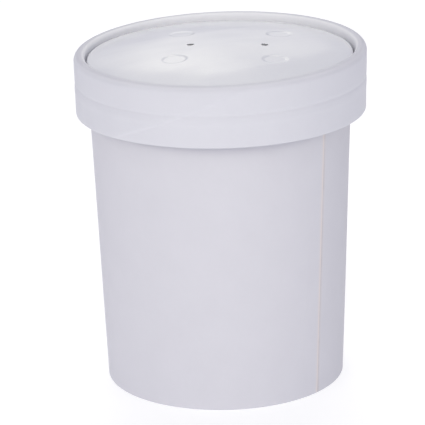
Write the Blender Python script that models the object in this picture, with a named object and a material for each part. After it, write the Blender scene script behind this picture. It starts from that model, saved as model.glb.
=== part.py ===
"""A shut paper food container: a tapered paper cup under a vented two-piece paper lid.

Units are metres, +Z is up, and the origin is the middle of the foot, on the surface it stands on.
"""
import math

import bmesh
import bpy
from mathutils import Matrix, Vector

# Whole object
HEIGHT = 0.1415            # foot to the top of the lid's rim
STEPS = 72                 # facets round every turned piece
GAP = 0.0003               # clearance left between pieces that touch

# Cup
FOOT_RADIUS = 0.05005      # outside of the wall at the foot
TAPER = 0.0368             # outward lean of the wall, radius gained for each unit of height
HEM_WIDTH = 0.0016         # folded hem that the cup stands on
HEM_ROUND = 0.0003         # rounding at both edges of the hem
RECESS = 0.0085            # height of the hollow under the bottom disc
RIM_ROLL = 0.0019          # radius of the rolled rim
RIM_TOP = HEIGHT - 0.0065  # top of the rolled rim, under the lid
FILL_TOP = HEIGHT - 0.0140 # top of the filled inside, below the rim
BOARD = 0.00035            # thickness of the cup's paperboard

# Side seam of the cup, where the wall's outer end laps over its inner end
SEAM_ANGLE = math.radians(-40)
SEAM_LAP = 0.0095          # width of the overlap, measured round the wall

# Lid ring
RIM_RADIUS = 0.0607        # outermost reach, where the fold meets the skirt
SKIRT = 0.0259             # depth of the skirt below the rim's top
SKIRT_LEAN = 0.016         # how much the skirt draws in on its way down
SKIRT_WALL = 0.0009        # two layers of board
FOLD_OUTSIDE = 0.0023      # radius of the fold on its outer side
FOLD_INSIDE = 0.0019       # radius of the fold on its inner side
INNER_RADIUS = 0.0565      # wall that goes down inside the rim
CRIMP_DROP = 0.0129        # height of the crimp line below the rim's top
CRIMP_DEPTH = 0.0003
CRIMP_WIDTH = 0.0010

# Lid disc
DISC_RADIUS = 0.0552       # shoulder of the disc
DISC_DROP = 0.0030         # shoulder's top below the rim's top
DISC_RISE = 0.0040         # how much the panel bulges up in the middle
DISC_BOARD = 0.0007
FLANGE_FLARE = 0.0006      # outward flare of the turned-down edge

# Pattern pressed and punched in the disc
PATTERN_CENTRE = Vector((0.0033, 0.0016, 0))
PATTERN_TURN = math.radians(-3.8)
DIMPLE_HALF_SPACING = 0.0205
DIMPLE_RADIUS = 0.0055
DIMPLE_DEPTH = 0.00035
VENT_HALF_SPACING = 0.0154
VENT_RADIUS = 0.0012


def wall_radius(z):
    """Outside radius of the cup's wall at a height."""
    return FOOT_RADIUS + TAPER * z


def arc(centre, radius, start, end, count):
    """Points (radius, height) along an arc; angles in degrees, counterclockwise when end is larger."""
    points = []
    for i in range(count + 1):
        a = math.radians(start + (end - start) * i / count)
        points.append((centre[0] + radius * math.cos(a), centre[1] + radius * math.sin(a)))
    return points


def make_material(name, hex_colour, roughness):
    """Paper finish: one colour and one roughness, no metal."""
    def linear(c):
        return c / 12.92 if c <= 0.04045 else ((c + 0.055) / 1.055) ** 2.4

    rgb = [linear(int(hex_colour[i:i + 2], 16) / 255) for i in (1, 3, 5)]
    material = bpy.data.materials.new(name)
    material.use_nodes = True
    material.diffuse_color = (*rgb, 1)
    shader = material.node_tree.nodes["Principled BSDF"]
    shader.inputs["Base Color"].default_value = (*rgb, 1)
    shader.inputs["Roughness"].default_value = roughness
    shader.inputs["Metallic"].default_value = 0
    return material


def add_object(name, mesh_data, material):
    """Puts a bmesh in the scene as a smooth-shaded object with sharp folds kept."""
    bmesh.ops.recalc_face_normals(mesh_data, faces=mesh_data.faces)
    mesh = bpy.data.meshes.new(name)
    mesh_data.to_mesh(mesh)
    mesh_data.free()
    mesh.shade_smooth()
    mesh.set_sharp_from_angle(angle=math.radians(35))
    mesh.materials.append(material)
    obj = bpy.data.objects.new(name, mesh)
    bpy.context.collection.objects.link(obj)
    return obj


def turned(outline):
    """Spins an outline of (radius, height) points about Z. It closes on itself or on the axis."""
    bm = bmesh.new()
    verts = [bm.verts.new((r, 0, z)) for r, z in outline]
    on_axis = outline[0][0] == 0 and outline[-1][0] == 0
    edges = [bm.edges.new(pair) for pair in zip(verts, verts[1:])]
    if not on_axis:
        edges.append(bm.edges.new((verts[-1], verts[0])))
    bmesh.ops.spin(bm, geom=verts + edges, cent=(0, 0, 0), axis=(0, 0, 1),
                   angle=2 * math.pi, steps=STEPS, use_merge=True)
    bmesh.ops.remove_doubles(bm, verts=bm.verts, dist=1e-6)
    return bm


def lap_side_seam(bm):
    """Raises the outer end of the wall over its inner end, with a sharp edge at the seam."""
    step = 2 * math.pi / STEPS
    low, high = HEM_ROUND * 2, RIM_TOP - 2 * RIM_ROLL - 0.002
    for v in bm.verts:
        radius = math.hypot(v.co.x, v.co.y)
        if not (low < v.co.z < high) or abs(radius - wall_radius(v.co.z)) > 1e-5:
            continue
        angle = math.atan2(v.co.y, v.co.x)
        behind = SEAM_ANGLE - angle          # how far the point lies inside the lapped side
        if abs(behind + step) < step / 2:
            angle = SEAM_ANGLE + math.radians(0.4)
        elif -step / 2 < behind:
            past = max(0.0, behind * radius - SEAM_LAP)
            radius += BOARD * max(0.0, 1 - past / SEAM_LAP)
        v.co.x, v.co.y = radius * math.cos(angle), radius * math.sin(angle)


def cup_body(material):
    """Paper cup, shut and full, as one solid: hem, hollow under the bottom, wall and rolled rim."""
    wall_top = RIM_TOP - 2 * RIM_ROLL
    roll = (wall_radius(wall_top) - BOARD + RIM_ROLL, RIM_TOP - RIM_ROLL)
    inside = roll[0] - RIM_ROLL
    recess_foot = FOOT_RADIUS - HEM_WIDTH
    outline = [(0, RECESS), (recess_foot + TAPER * RECESS, RECESS)]
    outline += [(recess_foot, HEM_ROUND), (recess_foot + HEM_ROUND, 0)]
    outline += [(FOOT_RADIUS - HEM_ROUND, 0), (wall_radius(HEM_ROUND), HEM_ROUND)]
    outline += [(wall_radius(z), z) for z in (0.004, wall_top * 0.5, wall_top - 0.002)]
    outline += arc(roll, RIM_ROLL, -100, 180, 10)
    outline += [(inside, FILL_TOP), (0, FILL_TOP)]
    bm = turned(outline)
    lap_side_seam(bm)
    return add_object("cup_body", bm, material)


def bottom_disc(material):
    """Plain disc set up inside the foot, clear of the filled inside."""
    radius = FOOT_RADIUS - HEM_WIDTH - GAP
    top = RECESS - GAP
    base = top - 2 * BOARD
    outline = [(0, base), (radius - BOARD, base), (radius, base + BOARD), (radius, top), (0, top)]
    return add_object("bottom_disc", turned(outline), material)


def skirt_radius(z):
    """Outside radius of the skirt at a height."""
    return RIM_RADIUS - SKIRT_LEAN * (HEIGHT - FOLD_OUTSIDE - z)


def lid_ring(material):
    """Skirt folded over the rim and down again, with a crimp line round its middle."""
    edge = HEIGHT - SKIRT
    crimp = HEIGHT - CRIMP_DROP
    under_fold = HEIGHT - 0.0034
    inner_foot = RIM_TOP + GAP
    edge_round = 0.0002
    outline = [(skirt_radius(edge) - edge_round, edge), (skirt_radius(edge), edge + edge_round)]
    outline += [(skirt_radius(crimp - CRIMP_WIDTH), crimp - CRIMP_WIDTH)]
    outline += [(skirt_radius(crimp) - CRIMP_DEPTH, crimp)]
    outline += [(skirt_radius(crimp + CRIMP_WIDTH), crimp + CRIMP_WIDTH)]
    outline += arc((RIM_RADIUS - FOLD_OUTSIDE, HEIGHT - FOLD_OUTSIDE), FOLD_OUTSIDE, 0, 90, 6)
    outline += arc((INNER_RADIUS + FOLD_INSIDE, HEIGHT - FOLD_INSIDE), FOLD_INSIDE, 75, 180, 5)
    outline += [(INNER_RADIUS, inner_foot), (INNER_RADIUS + SKIRT_WALL, inner_foot)]
    outline += [(INNER_RADIUS + SKIRT_WALL, under_fold), (skirt_radius(under_fold) - SKIRT_WALL, under_fold)]
    outline += [(skirt_radius(z) - SKIRT_WALL, z) for z in (crimp, edge)]
    return add_object("lid_ring", turned(outline), material)


def panel_height(radius):
    """Top surface of the bulged panel at a distance from its middle."""
    return HEIGHT - DISC_DROP + DISC_RISE * (1 - (radius / DISC_RADIUS) ** 2)


def cutter(name, radius, bottom, top, place):
    """Upright cylinder that takes material away, kept out of the picture."""
    bm = bmesh.new()
    bmesh.ops.create_cone(bm, cap_ends=True, segments=20, radius1=radius, radius2=radius, depth=top - bottom)
    obj = bpy.data.objects.new(name, bpy.data.meshes.new(name))
    bm.to_mesh(obj.data)
    bm.free()
    bpy.context.collection.objects.link(obj)
    obj.location = (place.x, place.y, (top + bottom) / 2)
    obj.hide_render = True
    obj.display_type = "WIRE"
    return obj


def cut(target, tool):
    """Takes the tool's shape out of the target."""
    modifier = target.modifiers.new(tool.name, "BOOLEAN")
    modifier.operation = "DIFFERENCE"
    modifier.object = tool


def pattern_place(across, along):
    """A place in the disc's pattern, which sits a little off centre and slightly turned."""
    return PATTERN_CENTRE + Matrix.Rotation(PATTERN_TURN, 3, "Z") @ Vector((across, along, 0))


def lid_disc(material):
    """Bulged panel with a turned-down edge, four pressed dimples and two vent holes."""
    flange_foot = RIM_TOP + GAP
    shoulder = 0.0008
    rings = 9
    top = [(DISC_RADIUS - shoulder) * i / rings for i in range(rings + 1)]
    outline = [(r, panel_height(r)) for r in top]
    outline += arc((DISC_RADIUS - shoulder, outline[-1][1] - shoulder), shoulder, 60, 0, 2)
    outline += [(DISC_RADIUS + FLANGE_FLARE, flange_foot), (DISC_RADIUS + FLANGE_FLARE - DISC_BOARD, flange_foot)]
    outline += [(DISC_RADIUS - DISC_BOARD, outline[rings][1] - shoulder - DISC_BOARD / 2)]
    outline += [(r, panel_height(r) - DISC_BOARD) for r in reversed(top)]
    disc = add_object("lid_disc", turned(outline), material)
    for i, (sx, sy) in enumerate(((-1, -1), (1, -1), (-1, 1), (1, 1))):
        place = pattern_place(sx * DIMPLE_HALF_SPACING, sy * DIMPLE_HALF_SPACING)
        floor = panel_height(place.length) - DIMPLE_DEPTH
        cut(disc, cutter(f"dimple_cutter_{i + 1}", DIMPLE_RADIUS, floor, floor + 0.01, place))
    for i, sx in enumerate((-1, 1)):
        place = pattern_place(sx * VENT_HALF_SPACING, 0)
        cut(disc, cutter(f"vent_cutter_{i + 1}", VENT_RADIUS, HEIGHT - 0.01, HEIGHT + 0.01, place))
    return disc


def main():
    for obj in list(bpy.data.objects):
        bpy.data.objects.remove(obj, do_unlink=True)
    stand = bpy.data.objects.new("paper_container", None)
    bpy.context.collection.objects.link(stand)
    pieces = (
        cup_body(make_material("coated_white_board", "#DADAE4", 0.45)),
        bottom_disc(make_material("bottom_white_board", "#E0DFE6", 0.55)),
        lid_ring(make_material("lid_ring_board", "#DDDDE6", 0.45)),
        lid_disc(make_material("lid_disc_board", "#E6E4E8", 0.40)),
    )
    for piece in pieces:
        piece.parent = stand


main()
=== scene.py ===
# %% [markdown]
# # A shut paper soup container
# The real thing is four pieces of coated paperboard: a wall rolled into a cone and glued along
# one side, a round bottom held in the wall's folded foot, a deep ring that goes over the top,
# and a round lid disc inside that ring. This file dresses a plain frame of the same size with
# the fine shapes and the paper finishes. The frame stays the authority on sizes and places.

# %% Load the frame
import math

import bmesh
import bpy
from mathutils import Matrix, Vector, noise


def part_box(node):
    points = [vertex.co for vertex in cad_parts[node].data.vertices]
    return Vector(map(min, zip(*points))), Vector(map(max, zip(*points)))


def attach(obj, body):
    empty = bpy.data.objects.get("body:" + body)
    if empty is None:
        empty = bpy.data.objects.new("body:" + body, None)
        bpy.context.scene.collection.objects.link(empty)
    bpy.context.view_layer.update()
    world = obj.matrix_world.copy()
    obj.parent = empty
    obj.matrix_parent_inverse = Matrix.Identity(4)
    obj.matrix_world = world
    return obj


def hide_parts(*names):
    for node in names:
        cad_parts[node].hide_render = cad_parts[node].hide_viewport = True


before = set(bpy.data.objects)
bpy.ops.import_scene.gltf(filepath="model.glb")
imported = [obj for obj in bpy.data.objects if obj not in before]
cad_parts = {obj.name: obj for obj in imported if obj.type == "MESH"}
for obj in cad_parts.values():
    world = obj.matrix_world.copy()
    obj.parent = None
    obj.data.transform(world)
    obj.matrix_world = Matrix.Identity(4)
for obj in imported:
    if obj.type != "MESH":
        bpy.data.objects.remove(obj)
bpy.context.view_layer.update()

# %% [markdown]
# ## Sizes
# Every size below is in metres. The large ones are read from the frame, so the pieces fit it by
# themselves. The small ones are board thicknesses, folds and presses that a frame leaves out.

# %% Sizes read from the frame
MM = 0.001
ring_low, ring_high = (Vector(corner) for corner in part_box("lid_ring"))
cup_low, cup_high = (Vector(corner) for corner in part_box("cup_body"))
disc_low, disc_high = (Vector(corner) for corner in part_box("lid_disc"))

RIM_Z = ring_high.z                 # top of the lid's rim
RIM_R = ring_high.x                 # outermost reach of the rim's fold
SKIRT_Z = ring_low.z                # lower edge of the lid's skirt
CROWN_Z = disc_high.z               # middle of the bulged disc
FLANGE_Z = disc_low.z               # lower edge of the disc's turned-down flange
ROLL_Z = cup_high.z                 # top of the cup's rolled rim
print("rim %.1f mm high, %.1f mm across" % (RIM_Z / MM, 2 * RIM_R / MM))

# %% Sizes of the fine shapes
BOARD = 0.40 * MM                   # cup board, coated both sides
FOOT_R = 50.05 * MM                 # outside of the wall where it stands
TAPER = 0.0368                      # radius gained for each unit of height
DISC_R = 55.2 * MM                  # shoulder of the lid disc
DISC_DROP = 3.0 * MM                # shoulder's top below the rim
SEAM_FOOT = math.radians(-40.9)     # the side seam's place at the foot
SEAM_LEAN = math.radians(1.5)       # how far it turns by the time it reaches the lid


def wall_radius(z):
    """Outside radius of the rolled wall at a height."""
    return FOOT_R + TAPER * z


def arc(centre, radius, start, end, count):
    """Points (radius, height) on an arc, from one angle in degrees to another."""
    steps = (math.radians(start + (end - start) * i / count) for i in range(count + 1))
    return [(centre[0] + radius * math.cos(a), centre[1] + radius * math.sin(a)) for a in steps]


def along(start, end, count):
    """Points on a straight stretch, without its first one."""
    return [(start[0] + (end[0] - start[0]) * i / count, start[1] + (end[1] - start[1]) * i / count)
            for i in range(1, count + 1)]


# %% [markdown]
# ## Nodes, one at a time
# Materials and Geometry Nodes are both trees of nodes. One small function adds any node, sets its
# options and either links or fills each of its inputs, so a tree reads from top to bottom.

# %% Add a node
def add_node(tree, kind, inputs=None, settings=None):
    node = tree.nodes.new(kind)
    for key, value in (settings or {}).items():
        setattr(node, key, value)
    for key, value in (inputs or {}).items():
        if isinstance(value, bpy.types.NodeSocket):
            tree.links.new(value, node.inputs[key])
        else:
            node.inputs[key].default_value = value
    return node


def srgb(hex_colour):
    """An sRGB hex colour as the linear numbers that shaders use."""
    parts = (int(hex_colour[i:i + 2], 16) / 255 for i in (1, 3, 5))
    return (*(c / 12.92 if c <= 0.04045 else ((c + 0.055) / 1.055) ** 2.4 for c in parts), 1.0)


# %% [markdown]
# ## Coated paperboard
# Food board is bleached wood pulp, pressed flat and coated with a thin film of polyethylene. Seen
# close, the pulp is slightly cloudy, because the fibres clump as the sheet forms, and the film
# gives a soft satin sheen over a very fine orange-peel. So each board here has three layers of
# detail: clouds of tint a centimetre wide, fibre clumps about 1.5 mm wide and a film texture.
# Real film texture is near 0.2 mm, too fine to show here, so it is drawn at about 0.7 mm.

# %% Coated board material
CLOUD = 12 * MM
CLUMP = 1.6 * MM
FILM = 0.7 * MM
CLUMP_HEIGHT = 0.10 * MM
FILM_HEIGHT = 0.04 * MM
SHEEN_SPREAD = 0.02                 # roughness varies this much to either side


def coated_board(name, pale, cool, roughness, ior, coat, bump):
    """White board under a film: two close tints, satin roughness and a thin clear coat."""
    material = bpy.data.materials.new(name)
    material.use_nodes = True
    tree = material.node_tree
    shader = tree.nodes["Principled BSDF"]
    shader.inputs["IOR"].default_value = ior
    shader.inputs["Coat Weight"].default_value = coat
    shader.inputs["Coat Roughness"].default_value = 0.9 * roughness
    place = add_node(tree, "ShaderNodeTexCoord").outputs["Object"]
    cloud = add_node(tree, "ShaderNodeTexNoise", {"Vector": place, "Scale": 1 / CLOUD, "Detail": 3.0})
    clump = add_node(tree, "ShaderNodeTexNoise", {"Vector": place, "Scale": 1 / CLUMP, "Detail": 2.0})
    film = add_node(tree, "ShaderNodeTexNoise", {"Vector": place, "Scale": 1 / FILM, "Detail": 1.0})
    both = add_node(tree, "ShaderNodeMath", {0: clump.outputs["Fac"], 1: 0.35, 2: cloud.outputs["Fac"]},
                    {"operation": "MULTIPLY_ADD"})
    share = add_node(tree, "ShaderNodeMapRange", {0: both.outputs[0], 1: 0.45, 2: 0.9})
    tint = add_node(tree, "ShaderNodeMix", {0: share.outputs[0], 6: srgb(pale), 7: srgb(cool)},
                    {"data_type": "RGBA"})
    sheen = add_node(tree, "ShaderNodeMapRange", {0: cloud.outputs["Fac"], 1: 0.3, 2: 0.7,
                                                  3: roughness - SHEEN_SPREAD, 4: roughness + SHEEN_SPREAD})
    low = add_node(tree, "ShaderNodeBump", {"Height": clump.outputs["Fac"], "Strength": bump,
                                            "Distance": CLUMP_HEIGHT})
    fine = add_node(tree, "ShaderNodeBump", {"Height": film.outputs["Fac"], "Strength": bump,
                                             "Distance": FILM_HEIGHT, "Normal": low.outputs[0]})
    tree.links.new(tint.outputs[2], shader.inputs["Base Color"])
    tree.links.new(sheen.outputs[0], shader.inputs["Roughness"])
    tree.links.new(fine.outputs[0], shader.inputs["Normal"])
    return material


# %% [markdown]
# ## The lid's two boards and the bottom's board
# All three are the same kind of food board, finished in different ways. The ring's strip is bent
# and crimped, so its film is matt and the eye sees an even white. The disc is pressed flat between
# polished plates, so it is glossier and mirrors the lights as soft streaks. The bottom is the
# plainest, with a little more of the pulp showing through.

# %% Three plain boards
# bleached board, film laminated and rolled: matt and even
ring_board = coated_board("lid_ring_satin_board", "#DBDBE4", "#D9D9E2", 0.55, 1.35, 0.04, 0.22)
# bleached board, film laminated and plate pressed: soft gloss with slow streaks
disc_board = coated_board("lid_disc_gloss_board", "#DFE0E6", "#DCDDE4", 0.245, 1.5, 0.40, 0.06)
# bleached board, thinly coated and pressed into a dish: matt, with cloudy pulp
bottom_board = coated_board("bottom_disc_board", "#E2E1E8", "#D8D8E2", 0.55, 1.4, 0.05, 0.45)

# %% Painted light and shade on the ring
PAINTED_LIGHT_REACH = (57.7 * MM, 56.7 * MM)  # painted light on the inner face is full inside the second radius
PAINTED_SHADE_REACH = (60.1 * MM, 58.9 * MM)   # and so is the greyer fold


def paint_ring_light_and_shade(material, painted_light_colour, painted_shade_colour):
    """Painted light whitens the strip's inner face, and painted shade greys the top of its fold."""
    tree = material.node_tree
    shader = tree.nodes["Principled BSDF"]
    tint = shader.inputs["Base Color"].links[0].from_socket
    place = add_node(tree, "ShaderNodeTexCoord").outputs["Object"]
    across = add_node(tree, "ShaderNodeVectorMath", {0: place, 1: (1.0, 1.0, 0.0)},
                      {"operation": "MULTIPLY"})
    radius = add_node(tree, "ShaderNodeVectorMath", {0: across.outputs[0]}, {"operation": "LENGTH"})
    inner = add_node(tree, "ShaderNodeMapRange",
                     {0: radius.outputs["Value"], 1: PAINTED_LIGHT_REACH[0], 2: PAINTED_LIGHT_REACH[1]},
                     {"interpolation_type": "SMOOTHSTEP"})
    top = add_node(tree, "ShaderNodeMapRange",
                   {0: radius.outputs["Value"], 1: PAINTED_SHADE_REACH[0], 2: PAINTED_SHADE_REACH[1]},
                   {"interpolation_type": "SMOOTHSTEP"})
    shaded_fold = add_node(tree, "ShaderNodeMix", {0: top.outputs[0], 6: tint, 7: srgb(painted_shade_colour)},
                        {"data_type": "RGBA"})
    lit_inside = add_node(tree, "ShaderNodeMix", {0: inner.outputs[0], 6: shaded_fold.outputs[2], 7: srgb(painted_light_colour)},
                     {"data_type": "RGBA"})
    tree.links.new(lit_inside.outputs[2], shader.inputs["Base Color"])


# painted light whitens the ring's inner face, and painted shade greys the top of its fold
paint_ring_light_and_shade(ring_board, "#F0F0F5", "#CDCDD7")

# %% [markdown]
# ## The wall's board and its seam
# Where the wall's outer end lies over its inner end, the board was cut and shows its raw pulp, a
# warm cream. Past the cut edge a thin painted shadow stands for the edge's shade on the inner
# end, and beyond it the board is painted a touch greyer, as painted shade. The wall's mesh carries
# its distance from the seam as an attribute named from_seam, in millimetres, and the material paints
# all of this with it. Distances are above zero past the cut edge and below zero before it.

# %% Wall board and seam sizes, in millimetres from the cut edge
# bleached board, film laminated and rolled into a cone: satin and even
cup_board = coated_board("cup_wall_satin_board", "#D8D7E0", "#D6D5DE", 0.55, 1.35, 0.04, 0.22)

STAIN = (2.4, 0.2)                  # glue warms the board this far to both sides, fully at the second
LIP = (-1.0, -0.3)                  # the cut edge, seen on the slant
EDGE_SHADOW = (1.7, 0.5)              # painted shadow past the edge
PAINTED_SHADE_SPAN = (1.0, 34.0, 62.0)         # painted shade starts, is darkest, and has ended
SHADOW_UNEVEN = 7 * MM                     # the painted shadow's strength changes every 7 mm or so


# %% Shares of cream, painted edge shadow and painted shade
def cream_share(tree, seam):
    """A faint stain to both sides, and more cream on the cut lip itself."""
    aside = add_node(tree, "ShaderNodeMath", {0: seam}, {"operation": "ABSOLUTE"})
    stain = add_node(tree, "ShaderNodeMapRange", {0: aside.outputs[0], 1: STAIN[0], 2: STAIN[1], 4: 0.30},
                     {"interpolation_type": "SMOOTHSTEP"})
    lip = add_node(tree, "ShaderNodeMapRange", {0: seam, 1: LIP[0], 2: LIP[1], 4: 0.40},
                   {"interpolation_type": "SMOOTHSTEP"})
    lip_end = add_node(tree, "ShaderNodeMath", {0: seam, 1: 0.02}, {"operation": "LESS_THAN"})
    return add_node(tree, "ShaderNodeMath",
                    {0: lip.outputs[0], 1: lip_end.outputs[0], 2: stain.outputs[0]},
                    {"operation": "MULTIPLY_ADD"}).outputs[0]


def edge_shadow_share(tree, seam, past):
    """Painted shadow in a thin line past the cut edge, stronger in some places than in others."""
    place = add_node(tree, "ShaderNodeTexCoord").outputs["Object"]
    uneven = add_node(tree, "ShaderNodeTexNoise", {"Vector": place, "Scale": 1 / SHADOW_UNEVEN, "Detail": 2.0})
    strong = add_node(tree, "ShaderNodeMapRange",
                      {0: uneven.outputs["Fac"], 1: 0.3, 2: 0.7, 3: 0.12, 4: 0.48})
    fade = add_node(tree, "ShaderNodeMapRange", {0: seam, 1: EDGE_SHADOW[0], 2: EDGE_SHADOW[1]},
                    {"interpolation_type": "SMOOTHSTEP"})
    dark = add_node(tree, "ShaderNodeMath", {0: fade.outputs[0], 1: past}, {"operation": "MULTIPLY"})
    return add_node(tree, "ShaderNodeMath", {0: dark.outputs[0], 1: strong.outputs[0]},
                    {"operation": "MULTIPLY"}).outputs[0]


def painted_shade_share(tree, seam, past):
    """Painted shade past the edge, darker as it goes and then gone again."""
    grows = add_node(tree, "ShaderNodeMapRange", {0: seam, 1: PAINTED_SHADE_SPAN[0], 2: PAINTED_SHADE_SPAN[1], 3: 0.12, 4: 0.44})
    ends = add_node(tree, "ShaderNodeMapRange", {0: seam, 1: PAINTED_SHADE_SPAN[2], 2: PAINTED_SHADE_SPAN[1]},
                    {"interpolation_type": "SMOOTHSTEP"})
    beside = add_node(tree, "ShaderNodeMath", {0: grows.outputs[0], 1: ends.outputs[0]},
                      {"operation": "MULTIPLY"})
    return add_node(tree, "ShaderNodeMath", {0: beside.outputs[0], 1: past},
                    {"operation": "MULTIPLY"}).outputs[0]


# %% Paint the seam
def paint_seam(material, cream, shade, painted_shade_grey):
    """Adds the raw cream lip, a thin painted shadow past the cut edge and painted shade on the board beyond
    it.
    """
    tree = material.node_tree
    shader = tree.nodes["Principled BSDF"]
    tint = shader.inputs["Base Color"].links[0].from_socket
    seam = add_node(tree, "ShaderNodeAttribute", settings={"attribute_name": "from_seam"}).outputs["Fac"]
    past = add_node(tree, "ShaderNodeMath", {0: seam, 1: 0.0}, {"operation": "GREATER_THAN"}).outputs[0]
    layers = ((cream_share(tree, seam), cream), (edge_shadow_share(tree, seam, past), shade),
              (painted_shade_share(tree, seam, past), painted_shade_grey))
    for share, colour in layers:
        tint = add_node(tree, "ShaderNodeMix", {0: share, 6: tint, 7: srgb(colour)},
                        {"data_type": "RGBA"}).outputs[2]
    tree.links.new(tint, shader.inputs["Base Color"])


# the cream is the raw cut edge; the second colour is painted shadow and the third painted shade
paint_seam(cup_board, "#E6DCDA", "#B9B0B4", "#BFBEC8")

# %% [markdown]
# ## The rolled wall
# The wall starts as a flat fan of board. It is rolled, its outer end laps about 9 mm over its
# inner end, the foot is folded in and up, and the top is rolled outwards. A plain spin can't make
# the lap, because a spin is the same all the way round. So the wall is made as a grid: each
# column is one place round the wall, crowded together near the seam, and each row is one point
# of the outline. The inside is closed just under the lid, as one solid, because it is never seen.

# %% Outline of the wall
HEM_Z = 6.6 * MM                    # raw top edge of the fold inside the foot
HEM_R = FOOT_R - 1.6 * MM           # inner face of that fold
FOOT_ROUND = 0.55 * MM
RECESS_Z = 8.5 * MM
ROLL_R = 1.9 * MM
LAP_TOP = ROLL_Z - 2 * ROLL_R - 1 * MM
FILL_Z = ROLL_Z - 7.5 * MM          # the solid inside ends here
CUP_SHIFT = -0.3 * MM               # the cup sits a little to the left in its lid
CUP_LEAN = 0.0014                   # and leans by this much, so its foot is further left


def cup_aside(z):
    """How far the cup's axis lies beside the lid's, by height."""
    return CUP_SHIFT - CUP_LEAN * (ROLL_Z - z)


def wall_outline():
    """Points (radius, height) from under the bottom, round the foot, up the wall and over the rim."""
    roll_z = ROLL_Z - ROLL_R
    roll_x = wall_radius(ROLL_Z - 2 * ROLL_R) - BOARD + ROLL_R
    inner = HEM_R + TAPER * HEM_Z
    points = [(0, RECESS_Z), (inner + BOARD, RECESS_Z), (inner + BOARD, HEM_Z)]
    points += arc((inner + BOARD / 2, HEM_Z - BOARD / 4), BOARD / 2, 60, 180, 4)
    points += along(points[-1], (HEM_R, FOOT_ROUND), 4)
    points += arc((HEM_R + FOOT_ROUND, FOOT_ROUND), FOOT_ROUND, 190, 270, 5)
    points += arc((wall_radius(0) - FOOT_ROUND, FOOT_ROUND), FOOT_ROUND, 270, 355, 5)
    points += along(points[-1], (wall_radius(LAP_TOP), LAP_TOP), 30)
    points += arc((roll_x, roll_z), ROLL_R, -105, 180, 16)
    points += [(roll_x - ROLL_R, FILL_Z), (0, FILL_Z)]
    return points


# %% Columns round the wall, crowded at the seam
COLUMNS = 288
FULL = 2 * math.pi * FOOT_R         # once round the foot
LAP_WIDTH = 7.5 * MM                # the inner end shows through the outer layer this far back
NEAR_SEAM = [-9.5, -8.6, -8.0, -7.5, -7.0, -6.4, -5.5, -4, -2.5, -1.5, -1.0, -0.6, -0.25, -0.05, 0.0,
             0.03, 0.3, 0.6, 1.0, 1.5, 2.2, 3.0, 4.0, 5.5]


def column_places():
    """Distances round the wall from the seam, in metres at the foot, sorted, for one full turn."""
    near = [s * MM for s in NEAR_SEAM]
    spread = [FULL * i / COLUMNS for i in range(COLUMNS)]
    rest = [s for s in spread if near[-1] + 0.6 * MM < s < FULL + near[0] - 0.6 * MM]
    return [s for s in near if s >= 0] + rest + [FULL + s for s in near if s < 0]


print("columns round the wall:", len(column_places()))


# %% Lift of the lap and one row of the wall
def lap_rise(s):
    """How far the outside stands off the plain cone, by signed distance from the seam."""
    if s > 0:                        # inner layer, drawn in under the cut edge
        return -0.30 * MM * max(0.0, 1 - s / (4.5 * MM)) ** 2
    back = -s
    show = math.exp(-((back - LAP_WIDTH) / (0.7 * MM)) ** 2)
    outer = 0.12 * MM * max(0.0, 1 - back / (1.5 * LAP_WIDTH))
    return outer + 0.05 * MM * show


def wall_row(bm, reading, radius, z, places):
    """The points round one height, with the lap's lift, a slight waviness and the seam reading."""
    if radius == 0:
        return [bm.verts.new((cup_aside(z), 0, z))] * len(places)
    row = []
    on_wall = 0.4 * MM < z <= LAP_TOP and radius > HEM_R + 1.2 * MM
    for s in places:
        signed = s if s < FULL / 2 else s - FULL
        angle = SEAM_FOOT + SEAM_LEAN * z / SKIRT_Z + s / FOOT_R
        r = radius
        if on_wall:
            fade = min(1.0, z / (2 * MM)) * min(1.0, (LAP_TOP - z) / (2 * MM))
            spot = Vector((math.cos(angle) * 2.2, math.sin(angle) * 2.2, z / (60 * MM)))
            r += fade * (lap_rise(signed) + 0.10 * MM * noise.noise(spot))
        vert = bm.verts.new((cup_aside(z) + r * math.cos(angle), r * math.sin(angle), z))
        vert[reading] = signed / MM if on_wall else 50.0
        row.append(vert)
    return row


# %% Roll the wall
def roll_the_wall():
    places = column_places()
    bm = bmesh.new()
    reading = bm.verts.layers.float.new("from_seam")
    rows = [wall_row(bm, reading, radius, z, places) for radius, z in wall_outline()]
    for low, high in zip(rows, rows[1:]):
        for j in range(len(places)):
            k = (j + 1) % len(places)
            corners = list(dict.fromkeys((low[j], low[k], high[k], high[j])))
            bm.faces.new(corners)
    bmesh.ops.recalc_face_normals(bm, faces=bm.faces)
    mesh = bpy.data.meshes.new("cup_wall")
    bm.to_mesh(mesh)
    bm.free()
    mesh.shade_smooth()
    mesh.set_sharp_from_angle(angle=math.radians(40))
    mesh.materials.append(cup_board)
    wall = bpy.data.objects.new("cup_wall", mesh)
    bpy.context.collection.objects.link(wall)
    print("wall:", len(mesh.polygons), "faces")
    return wall


cup_wall = roll_the_wall()
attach(cup_wall, "root")
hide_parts("cup_body")

# %% [markdown]
# ## Turning an outline with Geometry Nodes
# The ring, the lid disc and the bottom disc are each the same all the way round, apart from small
# presses and warps. The tree takes an outline as a chain of points, makes a grid with one row for
# each point and one column for each step round, and rolls the grid up: every grid point looks up
# its outline point by number and turns it about the upright axis. Anything that changes with the
# angle, such as a crease, is added to the outline point before it is turned.

# %% Start, turn and finish a tree
MERGE_WITHIN = 0.001 * MM


def start_tree(name, inputs):
    """A geometry tree with a geometry input and named inputs for its sizes."""
    tree = bpy.data.node_groups.new(name, "GeometryNodeTree")
    tree.interface.new_socket("Outline", in_out="INPUT", socket_type="NodeSocketGeometry")
    for label, value in inputs.items():
        kind = "NodeSocketInt" if isinstance(value, int) else "NodeSocketFloat"
        tree.interface.new_socket(label, in_out="INPUT", socket_type=kind).default_value = value
    tree.interface.new_socket("Geometry", in_out="OUTPUT", socket_type="NodeSocketGeometry")
    return tree, tree.nodes.new("NodeGroupInput").outputs


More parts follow.
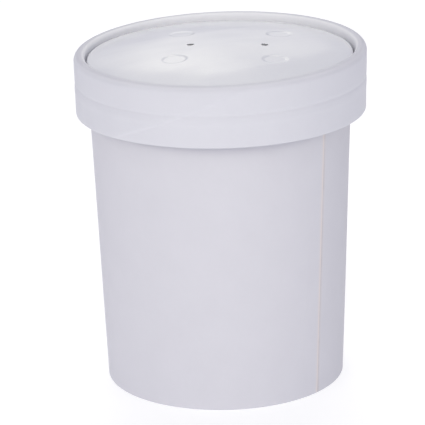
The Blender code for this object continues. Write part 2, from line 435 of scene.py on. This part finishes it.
def outline_reading(tree, given):
    """The outline point of each grid point, its angle round the axis, and the grid itself."""
    size = add_node(tree, "GeometryNodeAttributeDomainSize", {0: given["Outline"]}, {"component": "MESH"})
    columns = add_node(tree, "ShaderNodeMath", {0: given["Steps"], 1: 1.0})
    grid = add_node(tree, "GeometryNodeMeshGrid",
                    {"Vertices X": size.outputs["Point Count"], "Vertices Y": columns.outputs[0]})
    index = add_node(tree, "GeometryNodeInputIndex").outputs[0]
    turns = add_node(tree, "ShaderNodeMath", {0: index, 1: columns.outputs[0]}, {"operation": "DIVIDE"})
    row = add_node(tree, "ShaderNodeMath", {0: turns.outputs[0]}, {"operation": "FLOOR"})
    column = add_node(tree, "ShaderNodeMath", {0: index, 1: columns.outputs[0]}, {"operation": "MODULO"})
    step = add_node(tree, "ShaderNodeMath", {0: 2 * math.pi, 1: given["Steps"]}, {"operation": "DIVIDE"})
    angle = add_node(tree, "ShaderNodeMath", {0: column.outputs[0], 1: step.outputs[0]},
                     {"operation": "MULTIPLY"})
    place = add_node(tree, "GeometryNodeInputPosition").outputs[0]
    point = add_node(tree, "GeometryNodeSampleIndex",
                     {"Geometry": given["Outline"], "Value": place, "Index": row.outputs[0]},
                     {"data_type": "FLOAT_VECTOR"})
    return point.outputs[0], angle.outputs[0], grid.outputs["Mesh"]


def roll_up(tree, grid, point, angle):
    """Turns every outline point about the axis, then closes the seam and the poles."""
    turned = add_node(tree, "ShaderNodeVectorRotate", {"Vector": point, "Angle": angle},
                      {"rotation_type": "Z_AXIS"})
    rolled = add_node(tree, "GeometryNodeSetPosition", {"Geometry": grid, "Position": turned.outputs[0]})
    closed = add_node(tree, "GeometryNodeMergeByDistance",
                      {"Geometry": rolled.outputs[0], "Distance": MERGE_WITHIN})
    return closed.outputs[0]


def finish_tree(tree, geometry, material):
    real = add_node(tree, "GeometryNodeRealizeInstances", {"Geometry": geometry})
    paint = add_node(tree, "GeometryNodeSetMaterial", {"Geometry": real.outputs[0], "Material": material})
    add_node(tree, "NodeGroupOutput", {0: paint.outputs[0]})


# %% Turn a tree's result into a plain piece
def outline_object(name, points):
    """A chain of points as a mesh of edges, with the radius along X and the height along Z."""
    mesh = bpy.data.meshes.new(name)
    edges = [(i, i + 1) for i in range(len(points) - 1)]
    mesh.from_pydata([(r, 0, z) for r, z in points], edges, [])
    obj = bpy.data.objects.new(name, mesh)
    bpy.context.collection.objects.link(obj)
    return obj


def plain_piece(name, source, tree, material, **sizes):
    """Runs the tree on the outline and keeps the result as a plain closed mesh."""
    modifier = source.modifiers.new(name, "NODES")
    modifier.node_group = tree
    sockets = {item.name: item.identifier for item in tree.interface.items_tree if item.in_out == "INPUT"}
    for label, value in sizes.items():
        modifier[sockets[label.replace("_", " ").capitalize()]] = value
    seen = source.evaluated_get(bpy.context.evaluated_depsgraph_get())
    mesh = bpy.data.meshes.new_from_object(seen)
    source.modifiers.remove(modifier)
    bpy.data.objects.remove(source)
    bm = bmesh.new()
    bm.from_mesh(mesh)
    bmesh.ops.recalc_face_normals(bm, faces=bm.faces)
    open_edges = sum(not edge.is_manifold for edge in bm.edges)
    if bm.calc_volume(signed=True) < 0:
        bmesh.ops.reverse_faces(bm, faces=bm.faces)
    bm.to_mesh(mesh)
    print("%s: %.2f cubic cm, %d faces, %d open edges"
          % (name, bm.calc_volume() * 1e6, len(mesh.polygons), open_edges))
    bm.free()
    mesh.name = name
    mesh.materials.clear()
    mesh.materials.append(material)
    mesh.shade_smooth()
    mesh.set_sharp_from_angle(angle=math.radians(42))
    piece = bpy.data.objects.new(name, mesh)
    bpy.context.collection.objects.link(piece)
    return piece


# %% [markdown]
# ## The bottom disc
# A flat disc of board whose edge is pressed down, held by the wall's folded foot. From below you
# see a shallow dish with a small round corner, so it is a plain turned outline.

# %% Bottom disc
def bottom_outline():
    top = RECESS_Z - 0.15 * MM
    edge = HEM_R + TAPER * HEM_Z + BOARD - 0.1 * MM
    corner = 1.1 * MM
    points = [(0, top), (edge - corner, top)]
    points += arc((edge - corner, top - corner), corner, 80, 0, 6)
    points += [(edge, HEM_Z + 0.15 * MM), (edge - BOARD, HEM_Z + 0.15 * MM)]
    points += arc((edge - corner, top - corner), corner - BOARD, 0, 80, 6)
    points += along((edge - corner, top - BOARD), (0, top - BOARD), 8)
    return points


def bottom_tree():
    tree, given = start_tree("bottom disc", {"Steps": 192})
    point, angle, grid = outline_reading(tree, given)
    seated = add_node(tree, "GeometryNodeTransform", {"Geometry": roll_up(tree, grid, point, angle),
                                                      "Translation": (cup_aside(RECESS_Z), 0, 0)})
    finish_tree(tree, seated.outputs[0], bottom_board)
    return tree


bottom = plain_piece("bottom_dish", outline_object("bottom_outline", bottom_outline()), bottom_tree(),
                     bottom_board, steps=192)
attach(bottom, "root")
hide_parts("bottom_disc")

# %% [markdown]
# ## The lid's ring
# A strip of board is wound into a hoop, folded over the top and crimped. Its outline has the
# rounded fold, the wall that goes down inside, and a crimp groove half way down the skirt that
# snaps under the cup's rolled rim, with a soft bulge below it. Four things change round it: the
# strip's slanted lap, fine ripples where the fold was squeezed, a second faint crimp on the
# right, and a slight lean of the rim.

# %% Ring outline
CRIMP_Z = RIM_Z - 12.3 * MM
FOLD_OUT = 2.6 * MM                 # radius of the fold on its outer side
FOLD_IN = 2.0 * MM                  # and on its inner side
INNER_R = 56.1 * MM                 # wall that goes down inside the rim
SKIRT_WALL = 0.9 * MM
SKIRT_LEAN = 0.016                  # how much the skirt draws in on its way down


def skirt_radius(z):
    """Outside of the skirt: drawn in downwards, grooved at the crimp, bulged below it."""
    below = (z - CRIMP_Z) / MM
    groove = -0.26 * math.exp(-(below / 0.5) ** 2)
    bulge = 0.12 * math.exp(-((below + 3.0) / 1.2) ** 2)
    return RIM_R - SKIRT_LEAN * (RIM_Z - FOLD_OUT - z) + (groove + bulge) * MM


def ring_outline():
    fold_z = RIM_Z - FOLD_OUT
    edge_round = 0.35 * MM
    edge_r = skirt_radius(SKIRT_Z)
    under_fold = RIM_Z - 3.4 * MM
    points = arc((edge_r - edge_round, SKIRT_Z + edge_round), edge_round, 270, 360, 4)
    rows = 46
    for i in range(1, rows):
        z = SKIRT_Z + 0.6 * MM + (fold_z - SKIRT_Z - 0.6 * MM) * i / rows
        points.append((skirt_radius(z), z))
    points += arc((RIM_R - FOLD_OUT, fold_z), FOLD_OUT, 0, 88, 14)
    points += arc((INNER_R + FOLD_IN, RIM_Z - FOLD_IN), FOLD_IN, 86, 180, 11)
    points += along(points[-1], (INNER_R - 0.1 * MM, FLANGE_Z), 6)
    points += [(INNER_R + SKIRT_WALL, FLANGE_Z), (INNER_R + SKIRT_WALL, under_fold)]
    points += [(skirt_radius(under_fold) - SKIRT_WALL, under_fold)]
    points += [(RIM_R - 1.4 * MM, CRIMP_Z), (edge_r - SKIRT_WALL, SKIRT_Z)]
    return points + [points[0]]


# %% The lid's lean, shared by the ring and the disc
def lid_lean(tree, angle, given):
    """Height gained on one side of the lid and lost on the other, by angle."""
    away = add_node(tree, "ShaderNodeMath", {0: angle, 1: given["Lean angle"]}, {"operation": "SUBTRACT"})
    wave = add_node(tree, "ShaderNodeMath", {0: away.outputs[0]}, {"operation": "COSINE"})
    return add_node(tree, "ShaderNodeMath", {0: wave.outputs[0], 1: given["Lean"]},
                    {"operation": "MULTIPLY"}).outputs[0]


# the rim leans more than the disc, which is held lower down
RIM_LEAN = {"Lean angle": math.radians(28), "Lean": 1.22 * MM}
DISC_LEAN = {"Lean angle": math.radians(26), "Lean": 0.7 * MM}


# %% The strip's lap, ripples and second crimp
def lap_edge(tree, given, angle, height):
    """The lap's upper layer: a soft step on a slanted line that crosses the skirt at the lap angle."""
    away = add_node(tree, "ShaderNodeMath", {0: angle, 1: given["Lap angle"]}, {"operation": "SUBTRACT"})
    slant = add_node(tree, "ShaderNodeMath", {0: given["Lap slant"], 1: RIM_R}, {"operation": "MULTIPLY"})
    line = add_node(tree, "ShaderNodeMath",
                    {0: away.outputs[0], 1: slant.outputs[0], 2: (SKIRT_Z + RIM_Z) / 2},
                    {"operation": "MULTIPLY_ADD"})
    above = add_node(tree, "ShaderNodeMath", {0: height, 1: line.outputs[0]}, {"operation": "SUBTRACT"})
    edge = add_node(tree, "ShaderNodeMapRange", {0: above.outputs[0], 1: -0.5 * MM, 2: 0.7 * MM},
                    {"interpolation_type": "SMOOTHSTEP"})
    fade = add_node(tree, "ShaderNodeMapRange", {0: above.outputs[0], 1: 14 * MM, 2: 1 * MM})
    ends = add_node(tree, "ShaderNodeMapRange",
                    {0: height, 1: RIM_Z - 2.0 * MM, 2: RIM_Z - 4.5 * MM})
    rise = given["Lap rise"]
    for share in (edge, fade, ends):
        rise = add_node(tree, "ShaderNodeMath", {0: rise, 1: share.outputs[0]},
                        {"operation": "MULTIPLY"}).outputs[0]
    return rise


def squeezed_ripple(tree, given, east, north, height):
    """Ripples of the squeezed fold, by a noise that runs round the ring and fades down the skirt."""
    spot = add_node(tree, "ShaderNodeCombineXYZ", {0: east, 1: north})
    noisy = add_node(tree, "ShaderNodeTexNoise", {"Vector": spot.outputs[0], "Scale": 11.0, "Detail": 2.0})
    swing = add_node(tree, "ShaderNodeMapRange", {0: noisy.outputs["Fac"], 1: 0.2, 2: 0.8, 3: -1.0, 4: 1.0})
    high = add_node(tree, "ShaderNodeMapRange", {0: height, 1: RIM_Z - 9 * MM, 2: RIM_Z - 2 * MM})
    ripple = add_node(tree, "ShaderNodeMath", {0: swing.outputs[0], 1: given["Ripple"]},
                      {"operation": "MULTIPLY"})
    return add_node(tree, "ShaderNodeMath", {0: ripple.outputs[0], 1: high.outputs[0]},
                    {"operation": "MULTIPLY"}).outputs[0]


def second_crimp(tree, given, east, height):
    """A fainter crimp below the first, on the right only."""
    above = add_node(tree, "ShaderNodeMath", {0: height, 1: CRIMP_Z - 3.2 * MM}, {"operation": "SUBTRACT"})
    beside = add_node(tree, "ShaderNodeMath", {0: above.outputs[0]}, {"operation": "ABSOLUTE"})
    groove = add_node(tree, "ShaderNodeMapRange",
                      {0: beside.outputs[0], 1: 0.8 * MM, 2: 0.0, 4: given["Second crimp"]},
                      {"interpolation_type": "SMOOTHSTEP"})
    eastward = add_node(tree, "ShaderNodeMapRange", {0: east, 1: 0.70, 2: 0.95},
                        {"interpolation_type": "SMOOTHSTEP"})
    return add_node(tree, "ShaderNodeMath", {0: groove.outputs[0], 1: eastward.outputs[0]},
                    {"operation": "MULTIPLY"}).outputs[0]


# %% Ring tree
def ring_tree():
    tree, given = start_tree("lid ring", {
        "Steps": 480, "Lap angle": math.radians(254), "Lap slant": 0.400, "Lap rise": 0.31 * MM,
        "Ripple": 0.05 * MM, "Shift": 0.15 * MM, "Second crimp": 0.07 * MM, **RIM_LEAN})
    point, angle, grid = outline_reading(tree, given)
    parts = add_node(tree, "ShaderNodeSeparateXYZ", {0: point})
    radius, height = parts.outputs[0], parts.outputs[2]
    east = add_node(tree, "ShaderNodeMath", {0: angle}, {"operation": "COSINE"}).outputs[0]
    north = add_node(tree, "ShaderNodeMath", {0: angle}, {"operation": "SINE"}).outputs[0]

    # the lap and the second crimp are on the skirt's outer face alone
    skirt = add_node(tree, "ShaderNodeMath", {0: lap_edge(tree, given, angle, height),
                                              1: second_crimp(tree, given, east, height)},
                     {"operation": "SUBTRACT"})
    outside = add_node(tree, "ShaderNodeMath", {0: radius, 1: RIM_R - 1.1 * MM},
                       {"operation": "GREATER_THAN"})
    swell = add_node(tree, "ShaderNodeMath",
                     {0: skirt.outputs[0], 1: outside.outputs[0],
                      2: squeezed_ripple(tree, given, east, north, height)},
                     {"operation": "MULTIPLY_ADD"})

    # the lean and the shift move the rim most and the skirt's lower edge not at all
    share = add_node(tree, "ShaderNodeMapRange", {0: height, 1: SKIRT_Z, 2: RIM_Z})
    dip = add_node(tree, "ShaderNodeMath", {0: lid_lean(tree, angle, given), 1: share.outputs[0]},
                   {"operation": "MULTIPLY"})
    aside = add_node(tree, "ShaderNodeMath", {0: east, 1: given["Shift"]}, {"operation": "MULTIPLY"})
    out = add_node(tree, "ShaderNodeMath",
                   {0: aside.outputs[0], 1: share.outputs[0], 2: swell.outputs[0]},
                   {"operation": "MULTIPLY_ADD"})
    shift = add_node(tree, "ShaderNodeCombineXYZ", {0: out.outputs[0], 2: dip.outputs[0]})
    moved = add_node(tree, "ShaderNodeVectorMath", {0: point, 1: shift.outputs[0]})
    finish_tree(tree, roll_up(tree, grid, moved.outputs[0], angle), ring_board)
    return tree


ring = plain_piece("lid_hoop", outline_object("ring_outline", ring_outline()), ring_tree(), ring_board,
                   steps=480)
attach(ring, "root")
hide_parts("lid_ring")

# %% [markdown]
# ## The lid's disc
# The disc is a round of board, bulged by warm food, with its edge turned down. A press leaves
# four shallow round dimples and a punch makes two vent holes. In the tree the dimples are one
# grid of four points: each point of the disc finds its nearest dimple, and sinks by a smooth step
# when it is closer than the dimple's radius. The vents are one punch set on two points, cut out
# of the disc with a Boolean. The exact solver is used, because the disc's top and underside lie
# so close together that the faster ones lose the holes.

# %% Disc outline
DISC_BOARD = 0.45 * MM
SHOULDER = 0.8 * MM
PANEL_R = DISC_R - SHOULDER
FLARE = 0.3 * MM


def panel_height(radius):
    """Top of the bulged panel at a distance from its middle."""
    edge = RIM_Z - DISC_DROP
    return edge + (CROWN_Z - edge) * (1 - (radius / DISC_R) ** 2)


def disc_outline():
    rows = 108
    top = [PANEL_R * i / rows for i in range(rows + 1)]
    points = [(r, panel_height(r)) for r in top]
    centre_z = points[-1][1] - SHOULDER
    points += arc((PANEL_R, centre_z), SHOULDER, 75, 0, 6)
    points += along(points[-1], (DISC_R + FLARE, FLANGE_Z), 3)
    points += [(DISC_R + FLARE - DISC_BOARD, FLANGE_Z), (DISC_R - DISC_BOARD, centre_z - 0.3 * MM)]
    points += [(r, panel_height(r) - DISC_BOARD) for r in reversed(top[::6])]
    return points


# %% Lean, front fall and waves of the disc
FALL_FROM = 33 * MM                 # the disc starts to fall away at this radius, at the front
LEAN_FROM = 0.35 * DISC_R


def leaned_outline(tree, given, point, angle):
    """The outline point, lifted by the lid's lean and let down towards the front edge."""
    radius = add_node(tree, "ShaderNodeSeparateXYZ", {0: point}).outputs[0]
    share = add_node(tree, "ShaderNodeMapRange", {0: radius, 1: LEAN_FROM, 2: DISC_R},
                     {"interpolation_type": "SMOOTHSTEP"})
    lean = add_node(tree, "ShaderNodeMath", {0: lid_lean(tree, angle, given), 1: share.outputs[0]},
                    {"operation": "MULTIPLY"})
    north = add_node(tree, "ShaderNodeMath", {0: angle}, {"operation": "SINE"})
    front = add_node(tree, "ShaderNodeMapRange",
                     {0: north.outputs[0], 1: 0.1, 2: -0.8, 4: given["Front fall"]},
                     {"interpolation_type": "SMOOTHSTEP"})
    outward = add_node(tree, "ShaderNodeMapRange", {0: radius, 1: FALL_FROM, 2: DISC_R})
    curved = add_node(tree, "ShaderNodeMath", {0: outward.outputs[0], 1: 2.0}, {"operation": "POWER"})
    fallen = add_node(tree, "ShaderNodeMath", {0: curved.outputs[0], 1: front.outputs[0]},
                      {"operation": "MULTIPLY"})
    lift = add_node(tree, "ShaderNodeMath", {0: lean.outputs[0], 1: fallen.outputs[0]},
                    {"operation": "SUBTRACT"})
    upward = add_node(tree, "ShaderNodeCombineXYZ", {2: lift.outputs[0]})
    return add_node(tree, "ShaderNodeVectorMath", {0: point, 1: upward.outputs[0]}).outputs[0]


def steam_waves(tree, given, place):
    """Slow waves left by steam, three or four across the disc, and finer streaks over them."""
    slow = add_node(tree, "ShaderNodeTexNoise", {"Vector": place, "Scale": 1 / (34 * MM), "Detail": 1.0})
    swing = add_node(tree, "ShaderNodeMapRange", {0: slow.outputs["Fac"], 1: 0.25, 2: 0.75, 3: -1.0, 4: 1.0})
    long_way = add_node(tree, "ShaderNodeVectorRotate", {"Vector": place, "Angle": given["Streak angle"]},
                        {"rotation_type": "Z_AXIS"})
    drawn = add_node(tree, "ShaderNodeVectorMath", {0: long_way.outputs[0], 1: (0.22, 1.0, 1.0)},
                     {"operation": "MULTIPLY"})
    streaks = add_node(tree, "ShaderNodeTexNoise", {"Vector": drawn.outputs[0], "Scale": 1 / (9 * MM),
                                                    "Detail": 1.5})
    streak = add_node(tree, "ShaderNodeMapRange",
                      {0: streaks.outputs["Fac"], 1: 0.25, 2: 0.75, 3: -1.0, 4: 1.0})
    fine = add_node(tree, "ShaderNodeMath", {0: streak.outputs[0], 1: given["Streak"]},
                    {"operation": "MULTIPLY"})
    return add_node(tree, "ShaderNodeMath", {0: swing.outputs[0], 1: given["Wave"], 2: fine.outputs[0]},
                    {"operation": "MULTIPLY_ADD"}).outputs[0]


# %% Dimples and vents of the disc
PATTERN_CENTRE = (3.3 * MM, 1.2 * MM, 0.0)
PUNCH_LENGTH = 12 * MM
STILL_EDGE = 5 * MM                 # waves and dimples have faded out this close to the shoulder


def pressed_dimples(tree, given, flat, spin):
    """Depth of the four dimples, which lie on the corners of a square."""
    square = add_node(tree, "GeometryNodeMeshGrid", {"Size X": given["Dimple spacing"],
                                                     "Size Y": given["Dimple spacing"],
                                                     "Vertices X": 2, "Vertices Y": 2})
    placed = add_node(tree, "GeometryNodeTransform", {"Geometry": square.outputs["Mesh"],
                                                      "Translation": PATTERN_CENTRE, "Rotation": spin})
    nearest = add_node(tree, "GeometryNodeProximity", {0: placed.outputs[0], "Sample Position": flat},
                       {"target_element": "POINTS"})
    inner = add_node(tree, "ShaderNodeMath", {0: given["Dimple radius"], 1: given["Dimple edge"]},
                     {"operation": "SUBTRACT"})
    press = add_node(tree, "ShaderNodeMapRange",
                     {0: nearest.outputs["Distance"], 1: given["Dimple radius"], 2: inner.outputs[0]},
                     {"interpolation_type": "SMOOTHSTEP"})
    return add_node(tree, "ShaderNodeMath", {0: press.outputs[0], 1: given["Dimple depth"]},
                    {"operation": "MULTIPLY"}).outputs[0]


def vent_punches(tree, given, spin):
    """Two round punches, one on each end of a line through the pattern's centre."""
    half = add_node(tree, "ShaderNodeMath", {0: given["Vent spacing"], 1: 0.5}, {"operation": "MULTIPLY"})
    right = add_node(tree, "ShaderNodeCombineXYZ", {0: half.outputs[0]})
    left = add_node(tree, "ShaderNodeVectorMath", {0: right.outputs[0], 1: (-1.0, 0.0, 0.0)},
                    {"operation": "MULTIPLY"})
    line = add_node(tree, "GeometryNodeMeshLine", {"Count": 2, "Start Location": left.outputs[0],
                                                   "Offset": right.outputs[0]}, {"mode": "END_POINTS"})
    ends = add_node(tree, "GeometryNodeMeshToPoints", {"Mesh": line.outputs["Mesh"]})
    punch = add_node(tree, "GeometryNodeMeshCylinder", {"Vertices": 32, "Radius": given["Vent radius"],
                                                        "Depth": PUNCH_LENGTH})
    punches = add_node(tree, "GeometryNodeInstanceOnPoints", {"Points": ends.outputs[0],
                                                              "Instance": punch.outputs["Mesh"]})
    tools = add_node(tree, "GeometryNodeRealizeInstances", {"Geometry": punches.outputs[0]})
    return add_node(tree, "GeometryNodeTransform",
                    {"Geometry": tools.outputs[0], "Rotation": spin,
                     "Translation": (PATTERN_CENTRE[0], PATTERN_CENTRE[1], RIM_Z)}).outputs[0]


# %% Disc tree
def disc_tree():
    tree, given = start_tree("lid disc", {
        "Steps": 384, "Dimple radius": 5.6 * MM, "Dimple edge": 1.3 * MM, "Dimple depth": 0.31 * MM,
        "Dimple spacing": 41.0 * MM, "Vent radius": 1.55 * MM, "Vent spacing": 30.8 * MM,
        "Pattern turn": math.radians(-3.8), "Wave": 0.20 * MM, "Streak": 0.035 * MM,
        "Streak angle": math.radians(-24), "Push back": 0.4 * MM, "Front fall": 1.0 * MM, **DISC_LEAN})
    point, angle, grid = outline_reading(tree, given)
    plain = roll_up(tree, grid, leaned_outline(tree, given, point, angle), angle)

    # every point of the panel is moved up or down by the waves and the dimples
    place = add_node(tree, "GeometryNodeInputPosition").outputs[0]
    flat = add_node(tree, "ShaderNodeVectorMath", {0: place, 1: (1.0, 1.0, 0.0)},
                    {"operation": "MULTIPLY"}).outputs[0]
    spin = add_node(tree, "ShaderNodeCombineXYZ", {2: given["Pattern turn"]}).outputs[0]
    drop = add_node(tree, "ShaderNodeMath", {0: steam_waves(tree, given, place),
                                             1: pressed_dimples(tree, given, flat, spin)},
                    {"operation": "SUBTRACT"})
    from_middle = add_node(tree, "ShaderNodeVectorMath", {0: flat}, {"operation": "LENGTH"})
    panel = add_node(tree, "ShaderNodeMapRange",
                     {0: from_middle.outputs["Value"], 1: PANEL_R, 2: PANEL_R - STILL_EDGE},
                     {"interpolation_type": "SMOOTHSTEP"})
    kept = add_node(tree, "ShaderNodeMath", {0: drop.outputs[0], 1: panel.outputs[0]},
                    {"operation": "MULTIPLY"})
    down = add_node(tree, "ShaderNodeCombineXYZ", {2: kept.outputs[0]})
    pressed = add_node(tree, "GeometryNodeSetPosition", {"Geometry": plain, "Offset": down.outputs[0]})

    # the vents are cut, then the whole disc is seated a little towards the back of the ring
    vented = add_node(tree, "GeometryNodeMeshBoolean",
                      {0: pressed.outputs[0], 1: vent_punches(tree, given, spin)},
                      {"operation": "DIFFERENCE", "solver": "EXACT"})
    pushed = add_node(tree, "ShaderNodeCombineXYZ", {1: given["Push back"]})
    seated = add_node(tree, "GeometryNodeTransform", {"Geometry": vented.outputs[0],
                                                      "Translation": pushed.outputs[0]})
    finish_tree(tree, seated.outputs[0], disc_board)
    return tree


disc = plain_piece("lid_panel", outline_object("disc_outline", disc_outline()), disc_tree(), disc_board,
                   steps=384)
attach(disc, "root")
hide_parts("lid_disc")

# %% [markdown]
# ## Floor and light
# The container stands on a plain white floor that runs out of the picture. The floor glows a
# little, so it stays white right up to the foot. Board is nearly matt, so it looks best in wide
# soft light: round panels in front, to the left and to the right, make the cone an even white
# that darkens only near its edges, and a surround that is dimmer at the sides keeps those edges
# grey. A large panel high at the back lights the lid. The disc is glossier than the rest and
# needs something to mirror, so four small weak panels stand low at the back.

# %% Floor
FLOOR_HALF = 6.0
FLOOR_DROP = 0.1 * MM               # keeps the foot and the floor from lying in one plane
FLOOR_GLOW = 0.66


def white_floor():
    mesh = bpy.data.meshes.new("floor")
    corners = [(-FLOOR_HALF, -FLOOR_HALF, 0), (FLOOR_HALF, -FLOOR_HALF, 0),
               (FLOOR_HALF, FLOOR_HALF, 0), (-FLOOR_HALF, FLOOR_HALF, 0)]
    mesh.from_pydata(corners, [], [(0, 1, 2, 3)])
    floor = bpy.data.objects.new("floor", mesh)
    bpy.context.collection.objects.link(floor)
    floor.location.z = -FLOOR_DROP
    material = bpy.data.materials.new("white_floor")
    material.use_nodes = True
    shader = material.node_tree.nodes["Principled BSDF"]
    shader.inputs["Base Color"].default_value = srgb("#B2B2B5")
    shader.inputs["Roughness"].default_value = 0.9
    shader.inputs["Specular IOR Level"].default_value = 0.1
    shader.inputs["Emission Color"].default_value = (1.0, 1.0, 1.0, 1.0)
    shader.inputs["Emission Strength"].default_value = FLOOR_GLOW
    mesh.materials.append(material)
    return floor


white_floor()


# %% Light
PANEL_TINT = srgb("#FFFCE6")
SKY_TINT = srgb("#E0E2FF")
TARGET = Vector((0, 0, 70 * MM))


def soft_panel(name, turn, rise, distance, size, watts):
    """A round soft light: turned from the front about the axis, raised above the horizon."""
    light = bpy.data.lights.new(name, "AREA")
    light.shape = "DISK"
    light.size = size
    light.energy = watts
    light.color = PANEL_TINT[:3]
    panel = bpy.data.objects.new(name, light)
    a, e = math.radians(turn), math.radians(rise)
    away = Vector((math.sin(a) * math.cos(e), -math.cos(a) * math.cos(e), math.sin(e)))
    panel.location = TARGET + distance * away
    panel.rotation_euler = (-away).to_track_quat("-Z", "Y").to_euler()
    bpy.context.collection.objects.link(panel)


soft_panel("left_fill", -45, 25, 2.2, 1.0, 6.8)
soft_panel("front_left_fill", -25, 25, 2.2, 1.0, 3.0)
soft_panel("front_fill", -5, 25, 2.2, 1.0, 4.1)
soft_panel("front_right_fill", 38, 25, 2.2, 1.0, 1.8)
soft_panel("right_fill", 56, 25, 2.2, 1.0, 4.8)
soft_panel("front_key", -10, 50, 2.2, 1.1, 4.2)
soft_panel("back_top_panel", 180, 66, 2.0, 1.2, 15.5)
soft_panel("lid_glow", 180, 16.5, 2.2, 0.5, 0.36)
soft_panel("lid_glow_left", -172, 20, 2.2, 0.5, 0.21)
soft_panel("lid_glow_right", 173, 19, 2.2, 0.5, 0.07)
soft_panel("lid_glow_front", -176.5, 28.3, 2.2, 0.4, 0.52)

# %% White surround
SKY_AHEAD = 0.565                   # strength straight ahead, above and behind
SKY_ASIDE = 0.30                    # lost towards both sides
SKY_RIGHT = 0.02                    # lost towards the right, gained towards the left

world = bpy.data.worlds.new("white_surround")
bpy.context.scene.world = world
world.use_nodes = True
backdrop = world.node_tree.nodes["Background"]
backdrop.inputs["Color"].default_value = SKY_TINT
toward = add_node(world.node_tree, "ShaderNodeTexCoord").outputs["Generated"]
sideways = add_node(world.node_tree, "ShaderNodeSeparateXYZ", {0: toward}).outputs[0]
offside = add_node(world.node_tree, "ShaderNodeMath", {0: sideways}, {"operation": "ABSOLUTE"})
dimmer = add_node(world.node_tree, "ShaderNodeMath", {0: offside.outputs[0], 1: -SKY_ASIDE, 2: SKY_AHEAD},
                  {"operation": "MULTIPLY_ADD"})
uneven = add_node(world.node_tree, "ShaderNodeMath", {0: sideways, 1: -SKY_RIGHT, 2: dimmer.outputs[0]},
                  {"operation": "MULTIPLY_ADD"})
world.node_tree.links.new(uneven.outputs[0], backdrop.inputs["Strength"])
bpy.context.scene.view_settings.view_transform = "Standard"

# %% [markdown]
# ## Camera
# The picture was taken from some way off with a long lens, which keeps the cone's sides almost
# parallel. The camera stands about 18 degrees above the horizon. It aims a little off the middle
# and is tilted by just over one degree, as a hand-held or hastily levelled camera is.

# %% Camera
ELEVATION = math.radians(18.11)
DISTANCE = 1.216
LENS_MM = 244.2
SENSOR_MM = 36.0
LOOK_AT_Z = 65 * MM
TILT = math.radians(-1.34)
FRAME_PX = 425
AIM_PX = (11.0, 10.5)               # how far the aim lies from the container's middle, in pixels


def set_camera():
    data = bpy.data.cameras.new("long_lens")
    data.sensor_width = SENSOR_MM
    data.lens = LENS_MM
    data.clip_start, data.clip_end = 0.05, 50.0
    focal_px = LENS_MM / SENSOR_MM * FRAME_PX
    back = Vector((0, -math.cos(ELEVATION), math.sin(ELEVATION)))
    aim_x, aim_y = (math.atan2(px, focal_px) for px in AIM_PX)
    level = Matrix((Vector((1, 0, 0)), back.cross(Vector((1, 0, 0))), back)).transposed()
    turned = level @ Matrix.Rotation(aim_x, 3, "Y") @ Matrix.Rotation(aim_y, 3, "X")
    turned = turned @ Matrix.Rotation(TILT, 3, "Z")
    camera = bpy.data.objects.new("long_lens", data)
    place = Vector((0, 0, LOOK_AT_Z)) + back * DISTANCE
    camera.matrix_world = Matrix.Translation(place) @ turned.to_4x4()
    bpy.context.collection.objects.link(camera)
    bpy.context.scene.camera = camera
    print("camera forward", [round(v, 5) for v in -(camera.matrix_world.to_3x3().col[2])])


set_camera()
